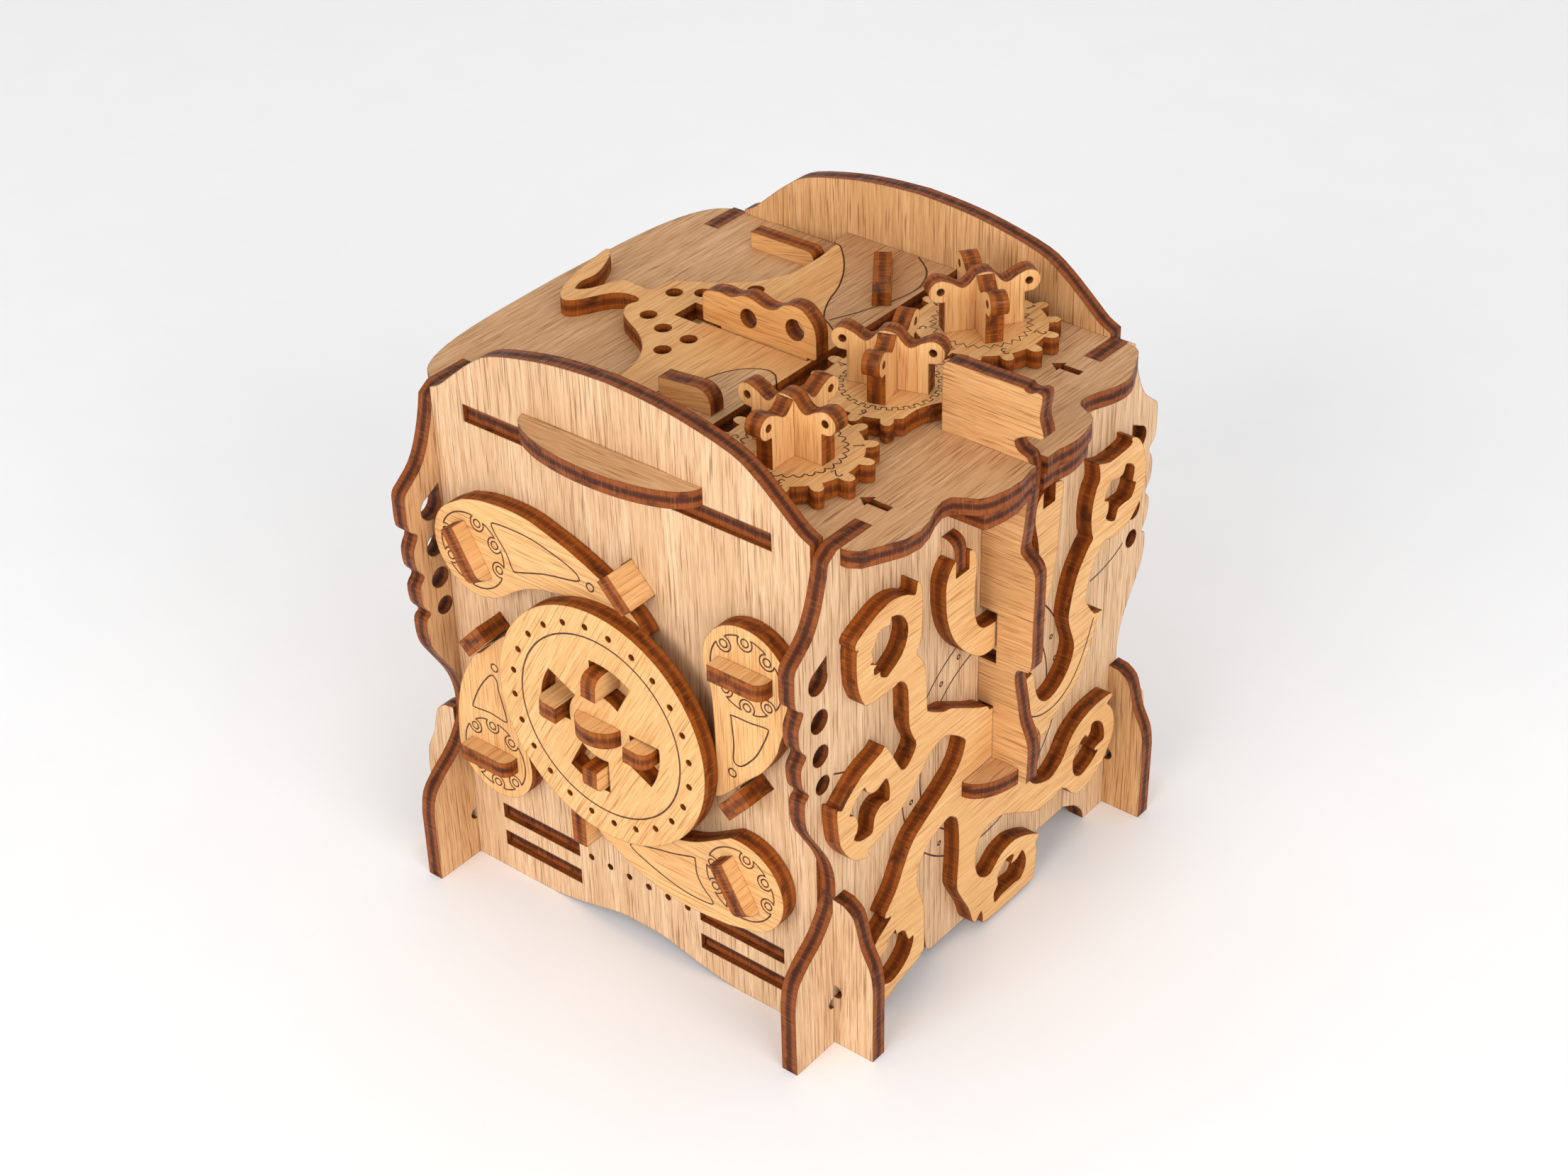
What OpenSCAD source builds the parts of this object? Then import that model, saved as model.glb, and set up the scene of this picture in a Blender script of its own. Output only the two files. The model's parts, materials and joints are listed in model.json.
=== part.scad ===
// Wooden puzzle box of laser-cut plywood: a square case on eight feet, with a turning disc and four
// turning arms on the front, a sea creature on the right side and three geared knobs on the lid.
// Millimetres, +Z up, front towards -Y. The origin is at the middle of the overall base.

/* [Case] */
// outer width across the two side panels
box_w = 110; // [96:1:132]
// outer depth across the front and back panels
box_d = 108; // [90:1:130]
// height of the lid's top face
box_h = 125; // [112:1:150]
// thickness of every plywood sheet
ply = 4; // [3.2:0.1:4.8]
// height of the crest of the front and back panels above the lid
crest_h = 19.3; // [14:0.1:24]

/* [Front] */
// radius of the turning disc
dial_r = 29; // [26:0.1:29.6]
// number of small holes around the disc
dial_holes = 24; // [12:1:30]

/* [Lid] */
// number of teeth around a full gear
gear_teeth = 14; // [12:1:16]
// height of the crossed knob plates above their gear
knob_h = 13.3; // [11.5:0.1:17]

/* [Hidden] */
$fn = 48;

// clearances
joint_gap = 0.05;  // glued joints, each side
slip_gap = 0.35;   // between pieces that move past each other
run_gap = 0.05;    // radial clearance of a shaft in its hole

// sizes of the case
half_w = box_w / 2;
half_d = box_d / 2;
in_w = half_w - ply;
in_d = half_d - ply;
lid_z = box_h - ply;
kx = in_w / 51;
ky = in_d / 50;
kz = box_h / 125;
k_top = min(kx, ky);
k_front = min(kx, kz);
lap_z = 13 * kz;         // height where the crossed panels interlock
foot_reach = 10.5;       // reach of the front and back panels' feet past the side panels

// sizes of the fin that runs down the right side
fin_out = 14.5;          // reach past the right panel
fin_in = 10.3 * k_top;   // reach over the lid
fin_y0 = -1 - ply / 2;   // front face of the fin
fin_y1 = -1 + ply / 2;

// the overall box is centred on the origin
x_mid = (fin_out - foot_reach) / 2;

// sizes of the pieces on the front
dial_z = 64.9 * kz;
arm_y = half_d + slip_gap;       // back of the arms, measured towards -Y
dial_y = arm_y + ply + slip_gap; // back of the disc
hub_r = 18 * k_front;
pin_r = 5;                       // radius of the turning hubs
flange_r = 8;
flange_t = 2.5;
grip_out = 3.8;                  // height of the finger bars

// sizes of the gears
gear_tip_r = 17.2 * k_top;
gear_root_r = 14.5 * k_top;
gear_step = gear_tip_r + gear_root_r + 0.5;
gear_x = 29.5 * kx;
gear_z = box_h + slip_gap;
gear_phase = 17.4;
knob_z = gear_z + ply;

// ---- helpers ----

// point on a Catmull-Rom curve
function curve_at(a, b, c, d, t) =
    0.5 * (2 * b + (c - a) * t + (2 * a - 5 * b + 4 * c - d) * t * t + (3 * b - a - 3 * c + d) * t * t * t);

// closed smooth outline through the points of p
function closed_curve(p, n) = [
    for (i = [0 : len(p) - 1], j = [0 : n - 1])
        curve_at(p[(i + len(p) - 1) % len(p)], p[i], p[(i + 1) % len(p)], p[(i + 2) % len(p)], j / n)
];

// open smooth line through the points of p, both ends kept
function open_curve(p, n) = concat(
    [for (i = [0 : len(p) - 2], j = [0 : n - 1])
        curve_at(p[max(i - 1, 0)], p[i], p[i + 1], p[min(i + 2, len(p) - 1)], j / n)],
    [p[len(p) - 1]]
);

function arc(cx, cy, r, a0, a1, n) = [
    for (i = [0 : n]) [cx + r * cos(a0 + (a1 - a0) * i / n), cy + r * sin(a0 + (a1 - a0) * i / n)]
];

function flipped(p) = [for (i = [len(p) - 1 : -1 : 0]) [-p[i][0], p[i][1]]];

function scaled(p, sx, sy) = [for (q = p) [q[0] * sx, q[1] * sy]];

function moved(p, dx, dy) = [for (q = p) [q[0] + dx, q[1] + dy]];

// sheet whose outline is drawn in X and Z, back face at y1
module sheet_y(y0, t) {
    translate([0, y0 + t, 0])
        rotate([90, 0, 0])
            linear_extrude(t)
                children();
}

// sheet whose outline is drawn in Y and Z
module sheet_x(x0, t) {
    translate([x0, 0, 0])
        rotate([90, 0, 90])
            linear_extrude(t)
                children();
}

module sheet_z(z0, t) {
    translate([0, 0, z0])
        linear_extrude(t)
            children();
}

module box_2d(x0, x1, y0, y1) {
    translate([x0, y0])
        square([x1 - x0, y1 - y0]);
}

// puts a piece into the shared frame
module placed() {
    translate([-x_mid, 0, 0])
        children();
}

// ---- case ----

foot_up = scaled([[foot_reach, 20], [9.8, 25], [7.5, 30], [6.5, 34], [5.3, 37.8], [2.8, 39.8]], 1, kz);

crest = [[51, 0.05], [48, 0.13], [44, 0.31], [38, 0.57], [32, 0.75], [20, 0.9], [10, 0.97], [0, 1]];

function panel_half() = concat(
    open_curve(scaled([[0, 4.3], [6, 4.2], [13, 2.6], [20, 1], [27, 0]], kx, kz), 3),
    [[half_w + foot_reach - 0.2, 0]],
    moved(open_curve(foot_up, 3), half_w, 0),
    [[half_w + joint_gap, 40.2 * kz], [half_w + joint_gap, lap_z - joint_gap],
     [in_w - joint_gap, lap_z - joint_gap]],
    [for (q = open_curve(crest, 3)) [q[0] * (in_w - joint_gap) / 51, box_h + q[1] * crest_h]]
);

floor_low = 7 * kz;
floor_high = floor_low + 2 * ply;

module panel_outline() {
    half = panel_half();
    difference() {
        polygon(concat(half, flipped(half)));
        for (side = [-1, 1])
            translate([side * (half_w + 0.5), lap_z + 1.7])
                circle(1.6);
    }
}

module floor_slots() {
    for (side = [-1, 1], z = [floor_low, floor_high])
        translate([side * 29.7 * kx - 11.8, z - joint_gap])
            square([23.6, ply + 2 * joint_gap]);
}

module lid_slot() {
    box_2d(-41.4 * kx, 41.4 * kx, lid_z - joint_gap, box_h + joint_gap);
}

module front_panel() {
    color("tan")
        placed()
            sheet_y(-half_d, ply)
                difference() {
                    panel_outline();
                    lid_slot();
                    box_2d(-20.5 * kx, 15 * kx, box_h - 1, box_h + ply + joint_gap);
                    floor_slots();
                    for (i = [-2.5 : 2.5])
                        translate([i * 5.7, 16.6 * kz])
                            circle(0.8);
                    translate([0, dial_z])
                        circle(pin_r + run_gap);
                    for (a = arm_spots)
                        translate(a)
                            circle(pin_r + run_gap);
                    for (s = stop_spots)
                        translate([s[0], s[1]])
                            rotate(s[2])
                                square([9, ply + 0.2], center = true);
                }
}

module back_panel() {
    color("tan")
        placed()
            sheet_y(half_d - ply, ply)
                difference() {
                    panel_outline();
                    lid_slot();
                    floor_slots();
                }
}

side_edge = [
    [53.7, 123.2], [54.7, 118.5], [56.6, 112.8], [59, 108.5], [62.3, 105.6], [64.4, 103.7], [64.7, 100.4],
    [64.4, 95.1], [62.1, 92.8], [63.7, 89.4], [63.4, 84.7], [61.5, 81.8], [63.2, 79.4], [62.8, 74.7],
    [60.9, 71.8], [62.3, 70.4], [62.3, 66.1], [61.3, 62.3], [58.5, 57.5], [55.3, 52], [53.5, 47],
    [53, 42],
    [53.8, 37], [57.5, 31.5], [62.5, 27.5], [66, 23.5], [67, 18]
];

function side_half() = concat(
    [[0, 2], [19.5 * ky, 2], [21 * ky, 3.5], [21.7 * ky, 9]],
    scaled(open_curve([[33, 9], [38, 6.3], [41, 3], [42, 0]], 3), ky, 1),
    [[in_d - joint_gap, 0], [in_d - joint_gap, lap_z + joint_gap],
    [half_d + joint_gap, lap_z + joint_gap],
     [half_d + joint_gap, 0], [half_d + 13, 0]],
    [for (q = open_curve([for (i = [len(side_edge) - 1 : -1 : 0]) side_edge[i]], 3))
        [q[0] + half_d - 54, q[1] * kz]],
    [[in_d + 0.9, box_h], [40 * ky, box_h], [40 * ky, lid_z - joint_gap], [0, lid_z - joint_gap]]
);

module side_outline() {
    half = side_half();
    difference() {
        polygon(concat(half, flipped(half)));
        for (side = [-1, 1]) {
            translate([side * (half_d + 0.3), lap_z - 1.5])
                circle(1.4);
            translate([side * (half_d + 3.4), 97.7 * kz]) {
                circle(3);
                polygon([[-side * 2.9, -0.6], [side * 1.6, 2.5], [-side * 2.8, 4.8]]);
            }
            for (h = [[3.2, 88, 2.7], [3, 79.4, 2.5], [2.5, 71.8, 2.2]])
                translate([side * (half_d + h[0]), h[1] * kz])
                    circle(h[2]);
        }
    }
}

module left_panel() {
    color("tan")
        placed()
            sheet_x(-half_w, ply)
                side_outline();
}

module right_panel() {
    color("tan")
        placed()
            sheet_x(in_w, ply)
                difference() {
                    side_outline();
                    box_2d(clip_y - joint_gap, clip_y + ply + joint_gap, clip_z, clip_z + 5);
                }
}

module floor_outline() {
    box_2d(-in_w + 0.4, in_w - 0.4, -in_d + 0.2, in_d - 0.2);
    for (side = [-1, 1])
        translate([side * 29.7 * kx - 11.6, -half_d + 1.3])
            square([23.2, box_d - 2.6]);
}

module lower_floor() {
    color("burlywood")
        placed()
            sheet_z(floor_low, ply)
                floor_outline();
}

module upper_floor() {
    color("burlywood")
        placed()
            sheet_z(floor_high, ply)
                floor_outline();
}

// ---- lid ----

lid_right = [
    [56.6, 50], [59, 48.5], [61.3, 44], [63.2, 40], [63.8, 36], [63, 32], [61.6, 28.5],
    [60.8, 25], [61.4, 22.6],
    [63.6, 21.2], [66, 20], [67.6, 17.5], [68.6, 13], [68.8, 9], [68, 5]
];

lid_left = [[-55.2, 50], [-58.4, 47.5], [-61, 42.5], [-63, 34], [-64.1, 21], [-64.6, 0]];

lid_y = in_d - joint_gap;

// right edge from back to front, and left edge from front to back
function lid_right_side() = [
    for (q = concat(open_curve(lid_right, 3),
                    [for (i = [1 : len(lid_right)]) let (r = lid_right[len(lid_right) - i]) [r[0], -r[1]]]))
        [q[0] + half_w - 55, q[1] * lid_y / 50]
];

function lid_left_side() =
    let (half = open_curve(lid_left, 3))
        [for (q = concat([for (p = half) [p[0], -p[1]]], [for (i = [2 : len(half)]) half[len(half) - i]]))
            [q[0] - half_w + 55, q[1] * lid_y / 50]];

module arrow(x, y) {
    translate([x, y])
        polygon([[-3.7, 0], [-1.3, 1.9], [-1.3, 0.9], [3.6, 0.9], [3.6, -0.9], [-1.3, -0.9], [-1.3, -1.9]]);
}

module lid_outline() {
    tab_x = 41.2 * kx;
    polygon(concat(
        lid_right_side(),
        [[tab_x, -lid_y], [tab_x, 1 - half_d], [-tab_x, 1 - half_d], [-tab_x, -lid_y]],
        lid_left_side(),
        [[-tab_x, lid_y], [-tab_x, half_d - 1], [tab_x, half_d - 1], [tab_x, lid_y]]));
}

module lid_plate() {
    color("peru")
        placed()
            sheet_z(lid_z, ply)
                difference() {
                    lid_outline();
                    for (side = [-1, 1]) {
                        for (wall = [-1, 1])
                            translate([wall * (half_w - ply / 2), side * (40 * ky + 10)])
                                square([ply + 2 * joint_gap, 20 + 2 * joint_gap], center = true);
                        arrow(half_w - 4.2, side * 33.3 * ky);
                    }
                    box_2d(half_w + 5 - joint_gap, half_w + 20, fin_y0 - joint_gap, fin_y1 + joint_gap);
                    for (i = [-1 : 1])
                        translate([gear_x, i * gear_step])
                            circle(pin_r + run_gap);
                }
}

// narrow second layer under the overhang of the lid, one piece on each side of the fin
module lid_under(y0, y1) {
    color("peru")
        placed()
            sheet_z(lid_z - ply, ply)
                intersection() {
                    translate([-0.8, 0])
                        polygon(concat(lid_right_side(), [[half_w - 5, -in_d], [half_w - 5, in_d]]));
                    box_2d(half_w, half_w + 20, y0, y1);
                }
}

module lid_under_front() {
    lid_under(-18.4 * ky, fin_y0 - joint_gap);
}

module lid_under_back() {
    lid_under(fin_y1 + joint_gap, 21.6 * ky);
}

manta_edge = [
    // head and far wing
    [12, 11], [6.5, 11], [3, 13], [0, 15], [-3.5, 21], [-6, 28], [-10, 35], [-15, 41], [-18.8, 43.8],
    [-18, 37], [-18, 28], [-19, 25], [-21.5, 20], [-24.5, 17], [-28, 14], [-34, 10.5], [-37.5, 8],
    [-38, 5],
    [-38.5, 2.2], [-42, 2.3],
    // tail
    [-46.5, 2.2], [-48, -1], [-49.5, -5], [-52, -7.3], [-53.3, -4], [-53, 0], [-54, 4], [-57, 9.8],
    [-59.5, 11.2], [-58.5, 5], [-57, -3], [-54, -10], [-51, -12.7], [-48.5, -11.5], [-46.5, -8],
    [-44.5, -4.5],
    [-42, -2.5], [-38.5, -2.2],
    // near wing and head
    [-37, -3.5], [-37.8, -6], [-36, -9.5], [-32, -12], [-28, -14], [-24, -17], [-21.5, -20], [-19.5, -24],
    [-18.2, -30], [-18, -37], [-19, -43.5], [-15, -41], [-10, -35], [-6.5, -29], [-4, -24], [-2, -17],
    [1, -12.5], [5, -10.2], [8, -11], [12, -13]
];

plate_right = 10.3;

module manta_outline() {
    polygon(scaled(closed_curve(manta_edge, 3), k_top, k_top));
}

module manta() {
    color("wheat")
        placed()
            sheet_z(box_h, ply)
                intersection() {
                    difference() {
                        manta_outline();
                        scale(k_top) {
                            for (h = [[-33.2, 4.3], [-31, -6.8], [-24.5, -9.5], [-16.8, -10], [-18.3, -16.8],
                                      [-28, 7.9], [-19.6, 16]])
                                translate(h)
                                    circle(1.9);
                            translate([-22.9, 0])
                                square([7, 7], center = true);
                        }
                        box_2d(-20 * k_top, 9.4 * k_top, -ply / 2 - slip_gap, ply / 2 + slip_gap);
                    }
                    box_2d(-80, plate_right * k_top, -60, 60);
                }
}

// the flat plates beside the manta, cut off by its outline
module wing_plate(side) {
    intersection() {
        difference() {
            scale(k_top)
                polygon([[plate_right, side * 6], [plate_right, side * 60], [-20.3, side * 60],
                         [-20.3, side * 45], [-18.6, side * 43.6], [-12, side * 36], [-2, side * 12]]);
            manta_clear();
        }
        box_2d(-60, 60, side > 0 ? 5 : -in_d + joint_gap, side > 0 ? in_d - joint_gap : -5);
    }
}

module manta_clear() {
    for (d = [[0.3, 0], [-0.3, 0], [0, 0.3], [0, -0.3]])
        translate(d)
            manta_outline();
}

module wing_front() {
    color("tan")
        placed()
            sheet_z(box_h, ply)
                wing_plate(-1);
}

module wing_back() {
    color("tan")
        placed()
            sheet_z(box_h, ply)
                difference() {
                    wing_plate(1);
                    translate(wing_bar_at)
                        rotate(-54)
                            square([22.2, ply + 0.1], center = true);
                }
}

top_fin_edge = [
    [-19.5, 0.2], [-19.5, 5.3], [-19.1, 6.7], [-17.9, 7.6], [-14.5, 8.3], [-11.4, 8.1], [-8.3, 9.4],
    [-6.4, 9.6], [-3.7, 8.8], [-2.2, 8.4], [-0.2, 8.5], [1.3, 9.2], [2.5, 10.3], [4, 11], [5.9, 11.3],
    [7.8, 11], [9.4, 9.9], [10.7, 8.4], [11.4, 6.7], [11.6, 5.1], [11.6, 0.7]
];

module top_fin() {
    color("wheat")
        placed()
            sheet_y(-ply / 2, ply)
                translate([0, box_h + ply + slip_gap])
                    scale(k_top)
                        difference() {
                            polygon(concat(
                                open_curve(top_fin_edge, 3),
                                [[11, 0], [9, 0], [9, -3.6], [-14.5, -3.6], [-14.5, 0], [-19, 0]]));
                            translate([-6.7, 4.4])
                                circle(2.2);
                            translate([5.9, 5.7])
                                circle(2.45);
                        }
}

module front_ledge() {
    color("tan")
        placed()
            sheet_z(box_h, ply)
                union() {
                    polygon(moved(scaled(arc(0, 0, 1, 180, 360, 28), 24 * kx, 8.6), 0.2 * kx, -half_d));
                    box_2d(-20.3 * kx, 14.8 * kx, -half_d - 1, -in_d - 0.3);
                }
}

module lid_bar() {
    color("wheat")
        placed()
            sheet_y(37.1 * ky, ply)
                translate([0, box_h])
                    polygon(concat(
                        [[-38.5, 0]],
                        open_curve([[-21, 0], [-20.4, 1.2], [-20.2, 2.6], [-21, 3.8],
                        [-22.4, ply + 0.1]], 3),
                        [[-38.5, ply + 0.1]]));
}

wing_bar_at = [0.6 * k_top, 35.3 * k_top];

module wing_bar() {
    color("wheat")
        placed()
            translate([wing_bar_at[0], wing_bar_at[1], 0])
                rotate([0, 0, -54])
                    sheet_y(-ply / 2, ply)
                        translate([0, box_h])
                            polygon(concat([[11, 0], [11, ply + 2.9]],
                                arc(-8, ply, 3, 90, 180, 6), [[-11, 0]]));
}

module wing_grip() {
    color("wheat")
        placed()
            sheet_y(-32 * ky, ply)
                translate([k_top, box_h + ply])
                    polygon(concat([[-7, 0], [-7, 4.6]], arc(3.4, 2, 3.6, 90, 0, 8), [[7, 0]]));
}

// ---- gears and knobs ----

tooth_step = 360 / gear_teeth;
tooth_half = 0.21 * 2 * PI * (gear_root_r + gear_tip_r) / 2 / gear_teeth;

function tooth(a) = [
    for (q = [[gear_root_r - 1, -tooth_half], [gear_tip_r - 1.3, -tooth_half + 0.1],
              [gear_tip_r - 0.4, -tooth_half + 0.5], [gear_tip_r, -tooth_half + 1.1],
              [gear_tip_r, tooth_half - 1.1], [gear_tip_r - 0.4, tooth_half - 0.5],
              [gear_tip_r - 1.3, tooth_half - 0.1], [gear_root_r - 1, tooth_half]])
        [q[0] * cos(a) - q[1] * sin(a), q[0] * sin(a) + q[1] * cos(a)]
];

// teeth that would stand between the two angles are left out
module gear_disc(phase, skip_from, skip_to) {
    circle(gear_root_r, $fn = 96);
    for (i = [0 : gear_teeth - 1]) {
        a = (phase + i * tooth_step + 540) % 360 - 180;
        if (a < skip_from || a > skip_to)
            polygon(tooth(a));
    }
}

module full_gear(row) {
    color("burlywood")
        placed()
            translate([gear_x, row * gear_step, 0])
                sheet_z(gear_z, ply)
                    gear_disc(gear_phase, 200, 200);
}

module gear_front() {
    full_gear(-1);
}

module gear_back() {
    full_gear(1);
}

// the middle gear has a hollow in its rim where the fin stands
module gear_middle() {
    color("burlywood")
        placed()
            translate([gear_x, 0, 0])
                sheet_z(gear_z, ply)
                    difference() {
                        gear_disc(tooth_step / 2 - gear_phase, -48, 14);
                        rotate(-18)
                            translate([25 * k_top, 0])
                                circle(13.2 * k_top, $fn = 96);
                    }
}

module gear_hub(row) {
    color("burlywood")
        placed()
            translate([gear_x, row * gear_step, 0]) {
                translate([0, 0, lid_z - slip_gap])
                    cylinder(r = pin_r, h = ply + 2 * slip_gap);
                translate([0, 0, lid_z - slip_gap - flange_t])
                    cylinder(r = flange_r, h = flange_t);
            }
}

module gear_hub_front() {
    gear_hub(-1);
}

module gear_hub_middle() {
    gear_hub(0);
}

module gear_hub_back() {
    gear_hub(1);
}

knob_half = 8.9 * k_top;
ear_x = 9.8 * k_top;
ear_r = 2.6;
ear_z = knob_h - 3.4;

// half of the knob's outline, from the base to the middle of the top
function knob_half_outline() = concat(
    [[knob_half, 0], [knob_half, ear_z - 2.6]],
    arc(ear_x, ear_z, ear_r, -70, 110, 10),
    open_curve([[ear_x - 2.6, ear_z + 1.7], [5, ear_z + 0.4], [3.4, ear_z + 1.2],
    [2, ear_z + 2.9], [0.6, knob_h]], 3)
);

// slot_up is true on the plate that is slotted from its base
module knob_plate(row, turn, slot_up) {
    half = knob_half_outline();
    color("goldenrod")
        placed()
            translate([gear_x, row * gear_step, knob_z])
                rotate([0, 0, turn])
                    sheet_y(-ply / 2, ply)
                        difference() {
                            polygon(concat(half, flipped(half)));
                            for (side = [-1, 1])
                                translate([side * ear_x, ear_z])
                                    circle(0.85);
                            box_2d(-ply / 2 - joint_gap, ply / 2 + joint_gap, slot_up ? -1 : knob_h / 2,
                                   slot_up ? knob_h / 2 + joint_gap : knob_h + 1);
                        }
}

module knob_front_a() {
    knob_plate(-1, 0, true);
}

module knob_front_b() {
    knob_plate(-1, 90, false);
}

module knob_middle_a() {
    knob_plate(0, 17.5, true);
}

module knob_middle_b() {
    knob_plate(0, 107.5, false);
}

module knob_back_a() {
    knob_plate(1, 53, true);
}

module knob_back_b() {
    knob_plate(1, 143, false);
}

// ---- right side ----

function sz(z) = z * kz;

// edge of the fin above the lid, measured from the panel's face and the lid's top
fin_upper = [
    [9.4, 16.5], [10, 15.9], [11.3, 15.9], [12.4, 16.5], [13.9, 16], [13.5, 12.3], [13.5, 10.4],
    [14.3, 8],
    [14.2, 6.4], [11, 6], [8.8, 5], [7.6, 3.8], [8.5, 1.9], [10.8, 0.9], [11.5, -1.5]
];

// edge below the lid, measured from the panel's face and the floor
fin_lower = [
    [11.5, 121], [11.3, 117.7], [10.5, 108.5], [9.9, 103.8], [10.5, 102.3], [12.4, 100.8], [13.5, 99.1],
    [13.8, 96.2], [13.6, 84.6], [13.4, 75], [11, 73.8], [9.8, 73.1], [9.5, 70.4], [10.5, 64.6],
    [11.2, 60.4], [12.8, 56.5], [13.4, 53.1], [13.2, 44.8]
];

module side_fin() {
    color("tan")
        placed()
            sheet_y(fin_y0, ply)
                polygon(concat(
                    [[half_w - fin_in, box_h]],
                    arc(half_w - fin_in + 2, box_h + 14.5, 2, 180, 90, 4),
                    [for (q = open_curve(fin_upper, 3)) [half_w + q[0], box_h + q[1]]],
                    [for (q = open_curve(fin_lower, 3)) [half_w + q[0], sz(q[1])]],
                    [[half_w + 9.8, sz(44.8)], [half_w + 9.8, shelf_z + ply + joint_gap],
                     [half_w + 5.2, shelf_z + ply + joint_gap], [half_w + 5.2, shelf_z + ply - 0.6],
                     [half_w + ply + joint_gap, shelf_z + ply - 0.6],
                     [half_w + ply + joint_gap, sz(61.6)],
                     [half_w + joint_gap, sz(61.6)], [half_w + joint_gap, sz(73)],
                     [half_w + ply + 0.5, sz(73)], [half_w + ply + 0.5, sz(85.8)],
                     [half_w + joint_gap, sz(85.8)], [half_w + joint_gap, lid_z - joint_gap],
                     [half_w + 5, lid_z - joint_gap], [half_w + 5, box_h]]));
}

shelf_z = 43.9 * kz;

module side_shelf() {
    color("tan")
        placed()
            sheet_z(shelf_z, ply)
                difference() {
                    translate([half_w + ply + joint_gap, -1])
                        polygon(scaled(arc(0, 0, 1, -90, 90, 24), 7.2, 13));
                    box_2d(half_w + 9.7, half_w + 20, fin_y0 - joint_gap, fin_y1 + joint_gap);
                    box_2d(half_w, half_w + 5.3, fin_y0 - joint_gap, fin_y1 + joint_gap);
                }
}

kraken_edge = [
    // body, upper left ring, left ring, lower rings, lower right ring and upper right ring in turn
    [-2.9, 61.1], [-5, 62.7], [-9.4, 64.9], [-18, 69.9], [-21, 70.8], [-26, 73.8], [-26.8, 75.6],
    [-27.3, 84.9], [-29.1, 89.1], [-30.5, 91.1], [-29.4, 93.3], [-28.7, 96.6], [-28.7, 105.6],
    [-30.3, 108.3], [-31, 105.7], [-33.4, 106.9], [-36.6, 108.1], [-40.1, 108.4], [-43.7, 107.6],
    [-50, 104.9], [-50.5, 102.9], [-49.6, 102.6], [-50.3, 101.3], [-50, 94.1], [-48.1, 88.8],
    [-45.9, 87.4], [-38.7, 87], [-36.6, 87.4], [-34.8, 86.3], [-33.4, 83.4], [-33, 74.9],
    [-31.9, 71.3], [-30.5, 67.9], [-33, 64.7], [-35.1, 64.3], [-36.6, 66.3], [-40.7, 73.6],
    [-42.6, 73.1], [-48.7, 71.3], [-53.7, 68.1], [-55.5, 66.5], [-57.1, 66.9], [-56.4, 59.1],
    [-55.1, 55.6], [-52.6, 52], [-50.1, 50], [-46.2, 48.8], [-46.9, 50.7], [-43.7, 51.3], [-35.9, 54],
    [-30.1, 58.4], [-27.3, 61.3], [-24.4, 63.3], [-21.6, 63.9], [-18.7, 63.3], [-13.7, 59.5],
    [-13.1, 57], [-16.6, 51.6], [-28.7, 44.9], [-31.6, 42.7], [-33.7, 39.9], [-37.3, 33.4],
    [-41.2, 29.1], [-40.5, 27.7], [-39.3, 27], [-45.5, 22.7], [-47, 17], [-46, 10], [-44.2, 6.8],
    [-40.9, 4.9], [-37.3, 6.6], [-30.5, 8.1], [-27.6, 9.5], [-27.1, 12], [-27.4, 22], [-29.4, 28.4],
    [-29.9, 31.3], [-29.4, 34.1], [-27.6, 37], [-25.1, 39.1], [-19.4, 41.1], [-16.9, 40.2],
    [-15.1, 37.4], [-14.6, 29.1], [-15.1, 20.6], [-14.4, 17], [-10.5, 9.9], [-8.2, 4.1], [-5.5, 5.6],
    [-4.8, 3.4], [-3.1, 1.3], [13.3, 1.4], [15.4, 2.7], [16.3, 9.1], [15.8, 12], [17.2, 13.1],
    [13.3, 15.7], [7.2, 18.1], [1.9, 17.4], [-2.4, 14.5], [-5.9, 15.9], [-7.6, 18.4], [-8.2, 21.3],
    [-8, 24.9], [-6.6, 27.7], [-3.7, 29.1], [2.7, 28.3], [14.7, 21.3], [18.3, 20.4], [22.6, 20.6],
    [25.4, 21.1], [27.6, 19.9], [31.9, 15.6], [37.6, 15.9], [41.1, 17.4], [44, 19.9], [46.5, 23.4],
    [47.2, 27], [46.5, 30.6], [45.1, 33.1], [43.6, 34.9], [45.8, 35.9], [44, 37.1], [36.1, 37],
    [29.7, 34.5], [26.1, 30.2], [24, 28.4], [20.4, 27.2], [15.1, 29.1], [12.2, 32], [11.6, 35.4],
    [12.8, 38.6], [17.4, 41.6], [21.9, 44.9], [29, 48.1], [31.9, 50.6], [34, 54.1], [36.9, 60.9],
    [39.4, 63.2], [36.1, 64.1], [32.6, 68.9], [32.4, 72], [34.7, 78.1], [38.6, 82], [40.4, 81.5],
    [44, 81.1], [47.6, 81.6], [50.4, 83.3], [53.3, 86.3], [54.4, 89.1], [54.7, 92.7], [54.1, 96.3],
    [52.6, 99.9], [50.4, 102.7], [47.9, 103.8], [47.6, 102.2], [39.7, 101.9], [35.1, 103.4],
    [35.4, 102], [35.6, 99.1], [34.4, 97.4], [33.3, 94.1], [32.9, 90.6], [33.3, 87], [33.9, 84.9],
    [31.9, 83.1], [27.9, 77.7], [25.6, 69.9], [26, 66.3], [28.1, 60.6], [27.9, 57.7], [26.5, 54.9],
    [24, 52.4], [20.8, 50.8], [17.6, 50.8], [15.1, 52.7], [13.6, 55.6], [12.2, 61.2], [9.7, 61.3]
];

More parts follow.
